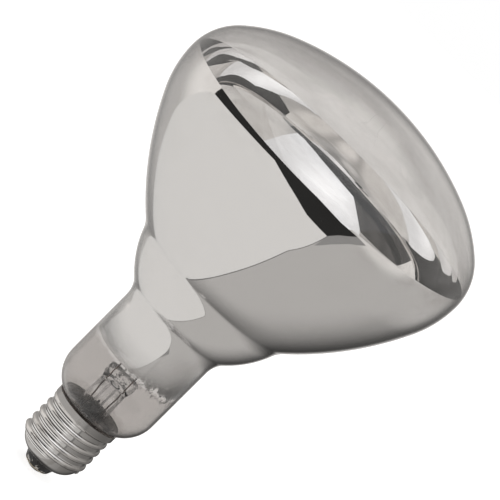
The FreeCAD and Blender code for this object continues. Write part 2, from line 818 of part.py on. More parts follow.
def make_centre_lead():
    """From the pinch down beside the exhaust tube and into the eyelet of the contact."""
    spread = size("lead_spread").value
    waist = spread - size("lead_waist").value
    tip = size("exhaust_tip").value
    bend = size("lead_bend").value
    high = size("pinch_low").value
    points = [
        FreeCAD.Vector(-spread, 0, high),
        FreeCAD.Vector(-spread, 0, high - 2 * size("lead_radius").value),
        FreeCAD.Vector(-waist, 0, (high + size("neck_end_height").value) / 2),
        FreeCAD.Vector(-waist, 0, tip + bend),
        FreeCAD.Vector(0, 0, size("insulator_top").value),
        FreeCAD.Vector(0, 0, size("solder_height").value),
    ]
    shaped_piece("outer_lead_centre", bent_wire(points, bend, size("lead_radius").value))


def side_lead_radius():
    """Distance from the axis at which the side lead climbs past the neck end."""
    return (size("neck_end_radius") + size("lead_cover") + size("lead_radius")).value


def make_side_lead():
    """From the pinch down under the flare's rim and up the back of the neck to the cap's rim."""
    spread = size("lead_spread").value
    under = size("neck_end_height").value - size("flare_wall").value
    turn_z = under - 2 * size("lead_radius").value
    back = side_lead_radius()
    bend = 2 * size("lead_radius").value
    points = [
        FreeCAD.Vector(spread, 0, size("pinch_low").value),
        FreeCAD.Vector(spread, 0, turn_z),
        FreeCAD.Vector(0, back, turn_z),
        FreeCAD.Vector(0, back, size("cap_top").value - size("cement_recess").value),
    ]
    shaped_piece("outer_lead_side", bent_wire(points, bend, size("lead_radius").value))


def knuckle_arc():
    """Radius of the rolled thread's crest and root, which join tangentially on the flank."""
    pitch = size("thread_pitch").value
    depth = size("thread_depth").value
    return (pitch ** 2 / 4 + depth ** 2) / (4 * depth)


def thread_core(inset):
    """Radius of the shell's plain wall between the ridges, just above the thread's root."""
    land = size("thread_crest").value - size("thread_depth").value + size("thread_land").value
    return land - inset


def thread_ridge(inset):
    """One helical ridge with round crest and hollow flanks, set inwards by inset."""
    arc = knuckle_arc()
    half_pitch = size("thread_pitch").value / 2
    crest = FreeCAD.Vector(size("thread_crest").value - arc, 0, 0)
    hollow_x = size("thread_crest").value - size("thread_depth").value + arc
    top = FreeCAD.Vector(crest.x + arc - inset, 0, 0)
    core = thread_core(inset)
    bite = core - size("thread_depth").value
    foot_x = core - size("thread_seat").value
    halves = []
    for side in (-1, 1):
        hollow = FreeCAD.Vector(hollow_x, 0, side * half_pitch)
        flank = crest + (hollow - crest).normalize() * (arc - inset)
        spread = math.acos((hollow_x - foot_x) / (arc + inset))
        foot_z = side * (half_pitch - (arc + inset) * math.sin(spread))
        foot = FreeCAD.Vector(foot_x, 0, foot_z)
        towards = ((flank - hollow).normalize() + (foot - hollow).normalize()).normalize()
        halves.append((foot, hollow + towards * (arc + inset), flank))
    low, high = halves
    edges = [
        Part.Arc(low[0], low[1], low[2]).toShape(),
        Part.Arc(low[2], top, high[2]).toShape(),
        Part.Arc(high[2], high[1], high[0]).toShape(),
        Part.makeLine(high[0], FreeCAD.Vector(bite, 0, high[0].z)),
        Part.makeLine(FreeCAD.Vector(bite, 0, high[0].z), FreeCAD.Vector(bite, 0, low[0].z)),
        Part.makeLine(FreeCAD.Vector(bite, 0, low[0].z), low[0]),
    ]
    pitch = size("thread_pitch").value
    helix = Part.makeLongHelix(pitch, pitch * size("thread_turns").value, core)
    ridge = Part.Wire(helix.Edges).makePipeShell([Part.Wire(edges)], True, True)
    ridge.translate(FreeCAD.Vector(0, 0, size("thread_start").value))
    return ridge.common(thread_envelope(inset))


def turned_solid(points):
    """A solid of revolution about the lamp's axis through these half-section corners."""
    corners = [FreeCAD.Vector(x, 0, z) for x, z in points]
    face = Part.Face(Part.makePolygon(corners + corners[:1]))
    return face.revolve(FreeCAD.Vector(0, 0, 0), FreeCAD.Vector(0, 0, 1), 360)


def thread_envelope(inset):
    """The space that the ridge may fill: it runs out at the foot and meets the collar."""
    crest = size("thread_crest").value - inset
    low = size("thread_start").value + inset
    full = low + size("thread_runout").value
    collar = size("collar_low").value
    edge = size("collar_radius").value - inset
    start = thread_core(inset) - size("thread_land").value
    return turned_solid([
        (0, low),
        (start, low),
        (crest, full),
        (crest, collar - size("thread_runout").value / 2),
        (edge, collar),
        (edge, size("cap_top").value),
        (0, size("cap_top").value),
    ])


def cap_plug(inset, overshoot):
    """Everything inside the cap's outer face, or inside its inner face when set inwards."""
    core = thread_core(inset)
    foot_arc = size("shell_foot_arc").value - inset
    foot_z = size("shell_foot_height").value
    centre = FreeCAD.Vector(thread_core(0) - size("shell_foot_arc").value, 0, foot_z)
    turn = math.radians(size("shell_foot_turn").value)
    lip = centre + FreeCAD.Vector(math.cos(turn), 0, -math.sin(turn)) * foot_arc
    middle = centre + FreeCAD.Vector(math.cos(turn / 2), 0, -math.sin(turn / 2)) * foot_arc
    collar_x = size("collar_radius").value - inset
    collar_z = size("collar_low").value + inset
    slope = collar_z - (collar_x - core)
    corners = [
        FreeCAD.Vector(core, 0, slope),
        FreeCAD.Vector(collar_x, 0, collar_z),
        FreeCAD.Vector(collar_x, 0, size("cap_top").value + overshoot),
        FreeCAD.Vector(0, 0, size("cap_top").value + overshoot),
        FreeCAD.Vector(0, 0, lip.z - overshoot),
        FreeCAD.Vector(lip.x, 0, lip.z - overshoot),
    ]
    if overshoot:
        corners.append(lip)
    wall = FreeCAD.Vector(core, 0, foot_z)
    edges = [Part.Arc(lip, middle, wall).toShape(), Part.makeLine(wall, corners[0])]
    for first, second in zip(corners, corners[1:]):
        edges.append(Part.makeLine(first, second))
    plug = Part.Face(Part.Wire(edges)).revolve(FreeCAD.Vector(), FreeCAD.Vector(0, 0, 1), 360)
    return plug.fuse(thread_ridge(inset))


def make_cap_shell():
    """Thin sheet shell with its thread rolled in, so that the inside follows the outside."""
    wall = size("shell_wall").value
    shell = cap_plug(0, 0).cut(cap_plug(wall, size("overshoot").value))
    return shaped_piece("cap_shell", shell)


def make_insulator():
    """Black glass disc pressed into the foot of the shell, round the centre contact."""
    arc = size("shell_foot_arc") - size("shell_wall")
    core = size("thread_crest") - size("thread_depth") + size("thread_land")
    centre_x = core - size("shell_foot_arc")
    centre_z = size("shell_foot_height")
    lip_x = centre_x + arc * cosine(size("shell_foot_turn"))
    lip_z = centre_z - arc * sine(size("shell_foot_turn"))
    top = size("insulator_top")
    top_x = centre_x + root(arc * arc - (centre_z - top) * (centre_z - top))
    plate_top = size("solder_height") + size("contact_plate")
    hole = size("eyelet_radius") + size("fit_gap")
    return turned_piece("cap_insulator", [
        (lip_x, lip_z, arc, 1),
        (top_x, top),
        (hole, top),
        (hole, plate_top),
        (size("insulator_foot"), plate_top),
        (lip_x - size("insulator_ledge"), lip_z),
    ])


def make_contact():
    """Brass contact plate with the eyelet that its lead wire comes down through."""
    low = size("solder_height")
    top = low + size("contact_plate")
    bore = size("eyelet_radius") - size("eyelet_wall")
    edge = size("contact_plate") / 2
    return turned_piece("centre_contact", [
        (bore, low),
        (size("contact_radius") - edge, low, edge, 1),
        (size("contact_radius"), low + edge, edge, 1),
        (size("contact_radius") - edge, top),
        (size("eyelet_radius"), top),
        (size("eyelet_radius"), low + size("eyelet_length")),
        (bore, low + size("eyelet_length")),
    ])


def make_contact_solder():
    """Solder drop that closes the eyelet, worn flat at its tip."""
    height = size("solder_height")
    wide = size("solder_radius")
    tip = size("solder_flat")
    run = wide - tip
    arc = (run * run + height * height) / (height * 2)
    return turned_piece("contact_solder", [
        (term(0), term(0)),
        (tip, term(0), arc, 1),
        (wide, height),
        (term(0), height),
    ])


def make_cement(envelope):
    """The ring of cement between the neck end and the cap's collar."""
    top = size("cap_top").value - size("cement_recess").value
    low = size("collar_low").value + size("shell_wall").value
    outer = size("collar_radius").value - size("shell_wall").value
    inner = size("neck_end_radius").value
    ring = turned_solid([(inner, low), (outer, low), (outer, top), (inner, top)])
    ring = ring.cut(envelope.Shape)
    channel = size("lead_radius").value + size("fit_gap").value
    foot = FreeCAD.Vector(0, side_lead_radius(), low - channel)
    ring = ring.cut(Part.makeCylinder(channel, top - low + channel * 2, foot))
    return shaped_piece("cap_cement", ring)


def make_rim_solder(envelope):
    """Solder drop that joins the side lead's end to the cap's rim, squeezed under the glass."""
    radius = size("rim_solder").value
    rim = size("collar_radius").value
    inside = rim - size("shell_wall").value
    top = size("cap_top").value
    bed = top - size("cement_recess").value
    centre = FreeCAD.Vector(0, side_lead_radius() + radius, top)
    low = top - radius * 2
    seat = turned_solid([(0, low), (rim, low), (rim, top), (inside, top), (inside, bed), (0, bed)])
    drop = Part.makeSphere(radius, centre).cut(seat).cut(envelope.Shape)
    largest = max(drop.Solids, key=lambda solid: solid.Volume)
    return shaped_piece("side_solder", largest)


def build():
    """Make every piece of the lamp."""
    fill_sheet()
    envelope = make_envelope()
    make_mirror()
    make_stem()
    make_exhaust_tube()
    make_support_rod()
    make_filament()
    for number in range(int(size("hook_count").value)):
        make_hook(number)
    for name, side in (("left", -1), ("right", 1)):
        make_inner_lead("inner_lead_" + name, side)
        make_seal_wire("seal_wire_" + name, side)
    make_centre_lead()
    make_side_lead()
    make_cap_shell()
    make_insulator()
    make_contact()
    make_contact_solder()
    make_cement(envelope)
    make_rim_solder(envelope)
    doc.recompute()


def pieces():
    """The objects of the document that are pieces of the lamp."""
    bodies = doc.findObjects("PartDesign::Body")
    solids = doc.findObjects("Part::Torus") + doc.findObjects("Part::Cylinder")
    shaped = [item for item in doc.Objects if item.TypeId == "Part::Feature"]
    return bodies + solids + shaped


def check_document():
    """Stop if any object failed or any piece is not a sound solid."""
    for item in doc.Objects:
        if "Invalid" in item.State or "Error" in item.State:
            raise RuntimeError("%s failed: %s" % (item.Label, item.State))
    for piece in pieces():
        if piece.Shape.isNull() or not piece.Shape.isValid() or not piece.Shape.Solids:
            raise RuntimeError("%s is not a sound solid" % piece.Label)


def write_parts():
    os.makedirs("parts", exist_ok=True)
    for piece in pieces():
        piece.Shape.exportStep(os.path.join("parts", piece.Label + ".step"))


build()
check_document()
write_parts()
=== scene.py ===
import json
import math

import bmesh
import bpy
from mathutils import Matrix, Vector, noise


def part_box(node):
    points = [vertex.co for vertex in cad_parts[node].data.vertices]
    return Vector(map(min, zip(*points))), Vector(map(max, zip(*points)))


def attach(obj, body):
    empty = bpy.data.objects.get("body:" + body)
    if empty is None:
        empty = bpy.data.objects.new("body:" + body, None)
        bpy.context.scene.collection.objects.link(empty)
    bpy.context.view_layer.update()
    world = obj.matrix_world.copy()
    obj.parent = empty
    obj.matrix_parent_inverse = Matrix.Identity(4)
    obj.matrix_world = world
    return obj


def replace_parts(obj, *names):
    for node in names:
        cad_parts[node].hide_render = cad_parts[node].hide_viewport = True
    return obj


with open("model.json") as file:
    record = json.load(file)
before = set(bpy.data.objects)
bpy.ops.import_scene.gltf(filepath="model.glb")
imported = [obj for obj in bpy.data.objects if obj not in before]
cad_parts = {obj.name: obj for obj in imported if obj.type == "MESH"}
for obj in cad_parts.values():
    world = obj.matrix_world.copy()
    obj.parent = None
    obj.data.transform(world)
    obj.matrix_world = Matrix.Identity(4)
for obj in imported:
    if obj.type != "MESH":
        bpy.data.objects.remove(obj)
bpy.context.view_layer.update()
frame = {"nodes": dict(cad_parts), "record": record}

# Infrared heat lamp bulb standing on its centre contact, lens up. The camera, the studio and the
# places named for the finishes are in metres. The glass is drawn in millimetres and scaled by MM.
BODY = "root"
MM = 0.001

# Camera, as the photograph was taken: rolled so that the lamp leans to the right. Its lens and
# sensor are in millimetres.
AIM_HEIGHT = 0.10848
CAMERA_DISTANCE = 0.95153
CAMERA_ELEVATION = math.radians(12.088)
CAMERA_ROLL = math.radians(45)
FOCAL_LENGTH = 202.44
SENSOR_WIDTH = 36
LAMP_CENTRE = Vector((0, 0, AIM_HEIGHT))

# Blown envelope, outside faces, in millimetres and degrees
BULB_RADIUS = 62.5
BELLY_HEIGHT = 145.0
FRONT_HEIGHT = 177.7
NECK_RADIUS = 19.3
SHOULDER_HEIGHT = 40.3
SHOULDER_ARC = 12.9
WAIST_HEIGHT = 67.4
WAIST_ARC = 10.8
WAIST_TURN = 44.9
RING_ARC = 37.1
CREASE_ARC = 13.2
BOWL_ARC = 118.0
BOWL_TURN = 24.0
BELLY_ARC = 38.5
RIM_ARC = 20.2
RIM_TURN = 47.9
LENS_EDGE_ARC = 53.0
GLASS_WALL = 0.9
NECK_END_RADIUS = 11.1
NECK_END_HEIGHT = 22.0

# Mirror film inside the glass, in millimetres: where it starts and ends, its gap to the glass
# and its thickness
MIRROR_LOW = 50.5
MIRROR_HIGH = 148.9
FILM_GAP = 0.03
FILM_THICKNESS = 0.05

# How finely the blown walls are drawn, in millimetres along them and steps round the axis, and
# how far their outer face lies inside the CAD's. A point nearer to the axis than ON_AXIS is on it.
WALL_STEP = 0.8
TURN_STEPS = 288
HAIR = 0.03
ON_AXIS = 1e-6

# Glass stem, in millimetres: tube, flare and pinched top
STEM_RIM_RADIUS = 11.08
STEM_SEAT = 21.98
STEM_WALL = 0.85
TUBE_LOW_RADIUS = 6.2
TUBE_HIGH_RADIUS = 5.5
FLARE_TOP = 26.6
PINCH_LOW = 41.0
PINCH_BASE = 43.6
PINCH_TOP = 47.2
PINCH_WIDTH = 12.6
PINCH_THICKNESS = 4.6
CROWN_HEIGHT = 0.5

# Rings that draw the stem. The crown's are shares of the pinch's width and drops from its top.
STEM_STEPS = 120
BORE_SHARES = (1.0, 0.66, 0.33)
FLARE_RINGS = 8
TUBE_RINGS = 11
PINCH_RINGS = 8
CROWN_RINGS = ((0.97, 0.2), (0.92, 0.06), (0.8, 0), (0.6, 0), (0.4, 0), (0.25, 0))

# Lumps of the melted pinch: depth in millimetres, its share where the pinch starts, how coarse
# and fine lumps are mixed, how far lumps sink, and the share of the width that stays calm
MELT_DEPTH = 0.75
MELT_START = 0.4
COARSE_LUMPS = 0.6
FINE_LUMPS = 1.4
FINE_SHARE = 0.7
LUMP_SINK = 1.5
CALM_SHARE = 0.25

# Coiled filament: wire radius in metres, opening of its ring, turns, and points in each turn
FILAMENT_WIRE = 0.00012
FILAMENT_GAP = math.radians(60)
FILAMENT_TURNS = 240
TURN_POINTS = 10


def add_object(name, data):
    thing = bpy.data.objects.new(name, data)
    bpy.context.scene.collection.objects.link(thing)
    return thing


def mesh_of(name, shape):
    """A mesh from a finished bmesh, which is freed."""
    mesh = bpy.data.meshes.new(name)
    shape.to_mesh(mesh)
    shape.free()
    return mesh


# Camera and directions as the photographer sees them

def camera_axes():
    """Right, up and towards the camera, before the camera is rolled."""
    rise = CAMERA_ELEVATION
    towards = Vector((0, -math.cos(rise), math.sin(rise)))
    up = Vector((0, math.sin(rise), math.cos(rise)))
    return Vector((1, 0, 0)), up, towards


def rolled_axes():
    """The camera's own right and up, and the direction towards it."""
    right, up, towards = camera_axes()
    cos, sin = math.cos(CAMERA_ROLL), math.sin(CAMERA_ROLL)
    return right * cos + up * sin, up * cos - right * sin, towards


def seen_towards(away, clock):
    """Direction that lies `away` degrees from the camera, at a clock angle in the picture."""
    right, up, towards = rolled_axes()
    across, turn = math.radians(away), math.radians(clock)
    side = right * math.cos(turn) + up * math.sin(turn)
    return side * math.sin(across) + towards * math.cos(across)


def add_camera():
    data = bpy.data.cameras.new("camera")
    data.sensor_width = SENSOR_WIDTH
    data.lens = FOCAL_LENGTH
    data.clip_start = 0.05
    camera = add_object("camera", data)
    right, up, towards = rolled_axes()
    place = LAMP_CENTRE + towards * CAMERA_DISTANCE
    turned = Matrix((right, up, towards)).transposed().to_4x4()
    camera.matrix_world = Matrix.Translation(place) @ turned
    bpy.context.scene.camera = camera


# Shader node helpers

class Nodes:
    """A node tree with short calls to add and join its nodes."""

    def __init__(self, tree):
        self.tree = tree

    def add(self, kind, **settings):
        node = self.tree.nodes.new(kind)
        for name, value in settings.items():
            setattr(node, name, value)
        return node

    def join(self, source, target):
        self.tree.links.new(source, target)

    def feed(self, value, socket):
        """Set a socket to a number or a colour, or join another node's output to it."""
        if isinstance(value, (int, float)):
            socket.default_value = value
        elif isinstance(value, tuple):
            socket.default_value = value + (1.0,)
        else:
            self.join(value, socket)

    def math(self, operation, first, second=0.5, clamp=False):
        node = self.add("ShaderNodeMath", operation=operation, use_clamp=clamp)
        self.feed(first, node.inputs[0])
        self.feed(second, node.inputs[1])
        return node.outputs[0]

    def noise(self, coords, scale, detail, roughness=0.5, distortion=0.0):
        node = self.add("ShaderNodeTexNoise")
        self.join(coords, node.inputs["Vector"])
        self.feed(scale, node.inputs["Scale"])
        node.inputs["Detail"].default_value = detail
        node.inputs["Roughness"].default_value = roughness
        node.inputs["Distortion"].default_value = distortion
        return node.outputs["Fac"]

    def drift(self, coords, scale, detail, roughness, reach):
        """Noise about zero, over this reach from its lowest to its highest."""
        centred = self.math("SUBTRACT", self.noise(coords, scale, detail, roughness), 0.5)
        return self.math("MULTIPLY", centred, reach)

    def ramp(self, value, low, high, start=0.0, end=1.0):
        """A smooth change from start to end while the value goes from low to high."""
        node = self.add("ShaderNodeMapRange", interpolation_type="SMOOTHSTEP")
        node.inputs["From Min"].default_value = low
        node.inputs["From Max"].default_value = high
        node.inputs["To Min"].default_value = start
        node.inputs["To Max"].default_value = end
        self.join(value, node.inputs["Value"])
        return node.outputs["Result"]

    def mix_values(self, mask, first, second):
        """First where the mask is 0, second where it is 1."""
        node = self.add("ShaderNodeMix", data_type="FLOAT")
        self.join(mask, node.inputs["Factor"])
        self.join(first, node.inputs["A"])
        self.join(second, node.inputs["B"])
        return node.outputs["Result"]

    def blend(self, mask, first, second):
        """First colour where the mask is 0, second where it is 1."""
        node = self.add("ShaderNodeMix", data_type="RGBA")
        self.join(mask, node.inputs["Factor"])
        self.feed(first, node.inputs[6])
        self.feed(second, node.inputs[7])
        return node.outputs[2]

    def place(self):
        """A point of the piece, in metres."""
        return self.add("ShaderNodeTexCoord").outputs["Object"]

    def split(self, coords):
        """The X, Y and Z of a point, in metres."""
        node = self.add("ShaderNodeSeparateXYZ")
        self.join(coords, node.inputs["Vector"])
        return node.outputs["X"], node.outputs["Y"], node.outputs["Z"]

    def stretched(self, coords, scale, turn=0.0):
        """The point turned about the lamp's axis and scaled, so that a noise is drawn out."""
        node = self.add("ShaderNodeMapping")
        self.join(coords, node.inputs["Vector"])
        node.inputs["Rotation"].default_value = (0, 0, turn)
        node.inputs["Scale"].default_value = scale
        return node.outputs["Vector"]

    def from_axis(self, across, along):
        """Distance from the lamp's axis."""
        square = self.math("ADD", self.math("MULTIPLY", across, across),
                           self.math("MULTIPLY", along, along))
        return self.math("SQRT", square)


def new_material(name):
    material = bpy.data.materials.new(name)
    material.use_nodes = True
    nodes = Nodes(material.node_tree)
    shader = material.node_tree.nodes["Principled BSDF"]
    return material, nodes, shader


def new_group(name, inputs, outputs):
    """A shader node group with named value inputs and outputs."""
    tree = bpy.data.node_groups.new(name, "ShaderNodeTree")
    for label, value in inputs:
        socket = tree.interface.new_socket(label, in_out="INPUT", socket_type="NodeSocketFloat")
        socket.default_value = value
    for label in outputs:
        tree.interface.new_socket(label, in_out="OUTPUT", socket_type="NodeSocketFloat")
    nodes = Nodes(tree)
    return tree, nodes, nodes.add("NodeGroupInput"), nodes.add("NodeGroupOutput")


def place_group(nodes, tree, **values):
    """A group in a material. A value named smear_size goes to the input Smear size."""
    node = nodes.add("ShaderNodeGroup", node_tree=tree)
    for label, value in values.items():
        node.inputs[label.replace("_", " ").capitalize()].default_value = value
    return node


def bump(nodes, height, shader):
    node = nodes.add("ShaderNodeBump")
    node.inputs["Distance"].default_value = 1.0
    nodes.join(height, node.inputs["Height"])
    nodes.join(node.outputs["Normal"], shader.inputs["Normal"])


# Colours of the finishes
COLOURLESS = (1.0, 1.0, 1.0)
BURNT_GLASS = (0.26, 0.21, 0.18)
FILM_METAL = (0.94, 0.93, 0.92)
FILM_SMEARED = (0.88, 0.87, 0.85)
FILM_THIN = (0.60, 0.59, 0.58)
NICKEL_CREST = (0.82, 0.80, 0.78)
NICKEL_GROOVE = (0.60, 0.59, 0.58)
NICKEL_COLLAR = (0.46, 0.45, 0.44)
NICKEL_SMEARED = (0.44, 0.42, 0.40)
# Painted shade on one side of the cap
NICKEL_PAINTED_SHADE = (0.13, 0.125, 0.12)
# Painted dark reflection lines and painted highlight lines along the thread
NICKEL_PAINTED_DARK = (0.02, 0.02, 0.02)
NICKEL_PAINTED_HIGHLIGHT = (1.0, 0.99, 0.98)
BLACK_GLASS = (0.008, 0.008, 0.009)
BLACK_GLASS_SPECK = (0.06, 0.055, 0.05)
SOLDER_SPLASH = (0.62, 0.60, 0.57)
CEMENT_DARK = (0.10, 0.09, 0.08)
CEMENT_PALE = (0.22, 0.19, 0.17)

# Plain metals: colour, colour where it is smeared, and roughness
METALS = {
    "tungsten": ((0.22, 0.21, 0.20), (0.12, 0.12, 0.12), 0.35),
    "hook_wire": ((0.42, 0.41, 0.40), (0.3, 0.29, 0.28), 0.3),
    "lead_wire": ((0.17, 0.14, 0.12), (0.1, 0.07, 0.06), 0.35),
    "seal_wire": ((0.22, 0.17, 0.14), (0.15, 0.12, 0.1), 0.3),
    "contact_brass": ((0.55, 0.48, 0.36), (0.4, 0.33, 0.24), 0.3),
    "solder": ((0.55, 0.54, 0.52), (0.38, 0.37, 0.35), 0.35),
}
METAL_GRAIN_DEPTH = 0.000004

# How clear each part of the glass is, from burnt at 0 to colourless at 1
BULB_CLEARNESS = {"neck": 0.665, "band": 0.505, "body": 0.95, "lens": 0.845}
STEM_CLEARNESS = {"neck": 1.0, "band": 0.4, "body": 1.0, "lens": 1.0}

# Glass, in metres: the heights over which the burnt band and the hazy neck end and the lens
# begins, how far the first two edges waver, and the lens's side towards the camera, tinted clearer
# as painted brightening.
# Then the marks of wiping on the lens, and the depth of the waves in the blown glass.
BAND_TOP = (0.0300, 0.0314)
NECK_TOP = (0.0522, 0.0536)
LENS_LOW = (0.138, 0.150)
EDGE_WAVER = 0.004
BRIGHTENED_SIDE = (-0.050, -0.012)
SIDE_BRIGHTENING = 0.13
WIPING_TURN = math.radians(-17.6)
WIPING_EDGE = (0.4, 0.7)
WIPING_VEIL = 0.08
BULB_WAVES = 0.00002
STEM_WAVES = 0.00004

# Mirror film, in metres: its thin part low on one side, and its lower edge, which is clean on
# one side and flaked and a little higher on the other
THIN_SIDE = (0.004, 0.018)
THIN_TOP = (0.064, 0.074)
FLAKED_SIDE = (0.0, 0.006)
CLEAN_EDGE = (0.0533, 0.0537)
FLAKED_EDGE = (0.0510, 0.0540)
CLEAN_WAVER = 0.0015
FLAKED_WAVER = 0.022
FLAKED_LIFT = 0.0015
FILM_WAVES = 0.00006

# Screw cap, in metres: one crest of the thread on its helix, its pitch, where it starts, where
# the collar starts, and the distances from the axis between which groove turns to crest
THREAD_START = 0.00863
THREAD_PITCH = 0.003629
THREAD_LOW = 0.0075
COLLAR_LOW = 0.0261
THREAD_SOFTNESS = 0.0002
GROOVE_TO_CREST = (0.0121, 0.0130)

# Painted highlight lines and painted dark reflection lines along the thread, as shares of a pitch
# above a crest, the sides of the cap where each is painted, and the side where painted shade
# darkens the plating, in metres
PAINTED_HIGHLIGHT_LINES = ((0.57, 0.68), (0.38, 0.47))
PAINTED_DARK_LINES = ((0.69, 0.86), (0.47, 0.56))
LINE_SOFTNESS = 0.01
HIGHLIGHT_SIDE = (-0.0105, 0.0005)
DARK_LINE_SIDE = (-0.0115, -0.0012)
SIDE_SOFTNESS = 0.0010
SHADED_SIDE = (0.001, 0.0122)
SIDE_SHADE = 0.75
SATIN_ROUGHNESS = 0.14
SCRATCH_DEPTH = 0.000006

# Insulator: the heights between which its lumps stop being splashed with solder, how much more
# or less solder that gives, and the levels of the lumps that are splashed and that stand out
SPLASH_HEIGHTS = (0.0022, 0.0044)
SPLASH_GAIN = (0.06, -0.1)
SPLASH_LEVELS = (0.57, 0.60)
LUMP_LEVELS = (0.45, 0.7)
LUMP_DEPTH = 0.00035

# Levels of the noise between which a mark or a grain goes from none to full
SMEAR_LEVELS = (0.5, 0.75)
SPECK_LEVELS = (0.68, 0.74)
CEMENT_LEVELS = (0.35, 0.65)
CEMENT_DEPTH = 0.0001


# Effects that more than one finish uses

def handling_marks_group():
    """Smears and specks that handling leaves on glass and plating."""
    tree, nodes, given, result = new_group(
        "handling_marks",
        [("Smear size", 40.0), ("Speck size", 900.0), ("Amount", 0.5)],
        ["Smears", "Specks"],
    )
    coords = nodes.place()
    smear = nodes.noise(coords, given.outputs["Smear size"], detail=5.0, distortion=1.2)
    speck = nodes.noise(coords, given.outputs["Speck size"], detail=2.0)
    for label, level, limits in (("Smears", smear, SMEAR_LEVELS), ("Specks", speck, SPECK_LEVELS)):
        mask = nodes.ramp(level, *limits)
        nodes.join(nodes.math("MULTIPLY", mask, given.outputs["Amount"]), result.inputs[label])
    return tree


def blown_unevenness_group():
    """Slow waves that blowing leaves in a glass wall, as a height in metres."""
    tree, nodes, given, result = new_group(
        "blown_unevenness",
        [("Wave size", 18.0), ("Depth", 0.0001)],
        ["Height"],
    )
    wave = nodes.noise(nodes.place(), given.outputs["Wave size"], detail=1.0)
    height = nodes.math("MULTIPLY", wave, given.outputs["Depth"])
    nodes.join(height, result.inputs["Height"])
    return tree


def glass_haze_group():
    """How clear the blown glass is: hazy neck, burnt band by the cap, wiping marks in front."""
    tree, nodes, given, result = new_group(
        "glass_haze",
        [("Neck", 0.8), ("Band", 0.35), ("Body", 0.95), ("Lens", 0.9)],
        ["Clearness"],
    )
    coords = nodes.place()
    _, along, height = nodes.split(coords)
    # Painted light: the lens is tinted clearer on the side towards the camera, so it looks
    # brighter
    side = nodes.ramp(along, *BRIGHTENED_SIDE, SIDE_BRIGHTENING, 0.0)
    lens = nodes.math("ADD", given.outputs["Lens"], side, clamp=True)
    front = nodes.ramp(height, *LENS_LOW)
    body = nodes.mix_values(front, given.outputs["Body"], lens)
    cloud = nodes.drift(coords, scale=110.0, detail=4.0, roughness=0.6, reach=EDGE_WAVER)
    neck = nodes.ramp(nodes.math("ADD", height, cloud), *NECK_TOP)
    clearness = nodes.mix_values(neck, given.outputs["Neck"], body)
    upright = nodes.stretched(coords, (1.0, 1.0, 0.25))
    soot = nodes.drift(upright, scale=420.0, detail=5.0, roughness=0.7, reach=EDGE_WAVER)
    above = nodes.ramp(nodes.math("ADD", height, soot), *BAND_TOP)
    clearness = nodes.mix_values(above, given.outputs["Band"], clearness)
    brushed = nodes.stretched(coords, (0.25, 1.0, 1.0), WIPING_TURN)
    wiped = nodes.noise(brushed, scale=150.0, detail=6.0, roughness=0.7)
    streaks = nodes.math("MULTIPLY", nodes.ramp(wiped, *WIPING_EDGE), front)
    veil = nodes.math("MULTIPLY", streaks, WIPING_VEIL)
    nodes.join(nodes.math("SUBTRACT", clearness, veil), result.inputs["Clearness"])
    return tree


def smeared_roughness(nodes, mark, clean, gain):
    """Roughness that is raised by the smears."""
    return nodes.math("ADD", nodes.math("MULTIPLY", mark.outputs["Smears"], gain), clean)


# Finishes

def clear_to_shadows(nodes, shader):
    """Let light that casts shadows pass the glass straight."""
    path = nodes.add("ShaderNodeLightPath")
    clear = nodes.add("ShaderNodeBsdfTransparent")
    mix = nodes.add("ShaderNodeMixShader")
    nodes.join(path.outputs["Is Shadow Ray"], mix.inputs["Fac"])
    nodes.join(shader.outputs["BSDF"], mix.inputs[1])
    nodes.join(clear.outputs["BSDF"], mix.inputs[2])
    output = nodes.tree.nodes["Material Output"]
    nodes.join(mix.outputs["Shader"], output.inputs["Surface"])


def glass_finish(name, marks, waves, haze, clearness, wave_depth, bending):
    """Blown glass that is tinted where it is hazy. Bending is its index of refraction."""
    material, nodes, shader = new_material(name)
    veil = place_group(nodes, haze, **clearness)
    tint = nodes.blend(veil.outputs["Clearness"], BURNT_GLASS, COLOURLESS)
    nodes.join(tint, shader.inputs["Base Color"])
    shader.inputs["Transmission Weight"].default_value = 1.0
    shader.inputs["IOR"].default_value = bending
    mark = place_group(nodes, marks, smear_size=35.0, speck_size=700.0, amount=0.6)
    rough = smeared_roughness(nodes, mark, clean=0.0, gain=0.03)
    nodes.join(rough, shader.inputs["Roughness"])
    wave = place_group(nodes, waves, wave_size=16.0, depth=wave_depth)
    bump(nodes, wave.outputs["Height"], shader)
    clear_to_shadows(nodes, shader)
    return material


def mirror_finish(marks, waves):
    """Evaporated metal on the inside of the glass, thin low on one side and flaked below."""
    material, nodes, shader = new_material("mirror_film")
    shader.inputs["Metallic"].default_value = 1.0
    mark = place_group(nodes, marks, smear_size=22.0, speck_size=400.0, amount=0.5)
    colour = nodes.blend(mark.outputs["Smears"], FILM_METAL, FILM_SMEARED)
    coords = nodes.place()
    across, _, height = nodes.split(coords)
    side = nodes.ramp(across, *THIN_SIDE)
    low = nodes.ramp(height, *THIN_TOP, 1.0, 0.0)
    colour = nodes.blend(nodes.math("MULTIPLY", side, low), colour, FILM_THIN)
    nodes.join(colour, shader.inputs["Base Color"])
    rough = smeared_roughness(nodes, mark, clean=0.01, gain=0.05)
    nodes.join(rough, shader.inputs["Roughness"])
    wave = place_group(nodes, waves, wave_size=14.0, depth=FILM_WAVES)
    bump(nodes, wave.outputs["Height"], shader)
    nodes.join(film_cover(nodes, coords, across, height), shader.inputs["Alpha"])
    return material


